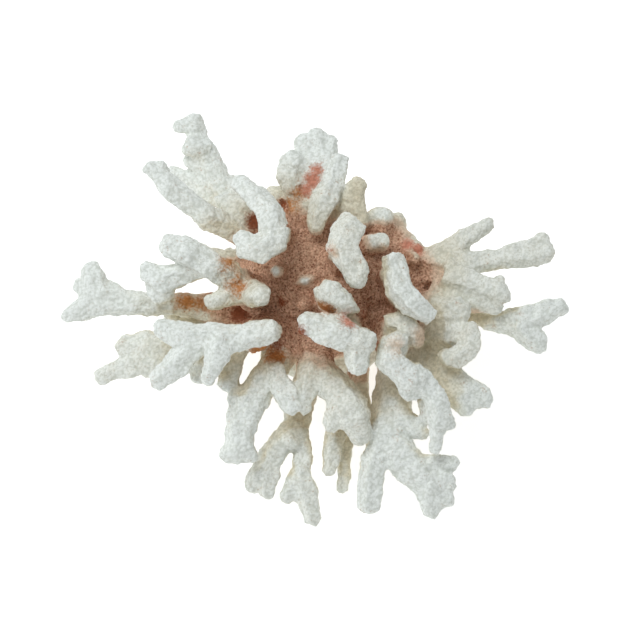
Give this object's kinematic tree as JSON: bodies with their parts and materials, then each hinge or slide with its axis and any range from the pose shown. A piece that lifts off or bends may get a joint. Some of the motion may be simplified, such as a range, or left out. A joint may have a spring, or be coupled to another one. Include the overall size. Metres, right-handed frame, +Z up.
{
  "type": "coral specimen",
  "caption": "Bleached branching coral colony with blunt, flattened branch ends round a stained heart, cut flat underneath to stand on a shelf.",
  "frame": {"origin": "middle of the bounding box on the surface that the coral stands on", "axes": "+Z up from the cut foot, +X along the colony's longest spread, -Y towards the side with the long low branches"},
  "size_m": [0.2046, 0.1614, 0.0917],
  "materials": {
    "bleached_skeleton": "matt, granular",
    "stained_skeleton": "matt, granular, pitted"
  },
  "bodies": {
    "root": {"heart": "stained_skeleton", "upper_left_branch": "bleached_skeleton", "long_finger": "bleached_skeleton", "curl": "bleached_skeleton", "left_paw": "bleached_skeleton", "left_arm": "bleached_skeleton", "lower_left_far": "bleached_skeleton", "lower_left_fingers": "bleached_skeleton", "bottom_left_branch": "bleached_skeleton", "bottom_middle_branch": "bleached_skeleton", "low_front_branch": "bleached_skeleton", "low_right_branch": "bleached_skeleton", "front_fork": "bleached_skeleton", "middle_paw": "bleached_skeleton", "centre_blade": "bleached_skeleton", "tan_blade": "bleached_skeleton", "top_paw": "bleached_skeleton", "right_blade": "bleached_skeleton", "right_upper_branch": "bleached_skeleton", "right_arm": "bleached_skeleton", "right_lobe": "bleached_skeleton", "wavy_blade": "bleached_skeleton", "lower_right_blade": "bleached_skeleton", "bottom_right_branch": "bleached_skeleton", "back_branch": "bleached_skeleton", "back_left_branch": "bleached_skeleton", "back_right_branch": "bleached_skeleton", "right_back_branch": "bleached_skeleton", "left_back_branch": "bleached_skeleton"}
  },
  "joints": []
}
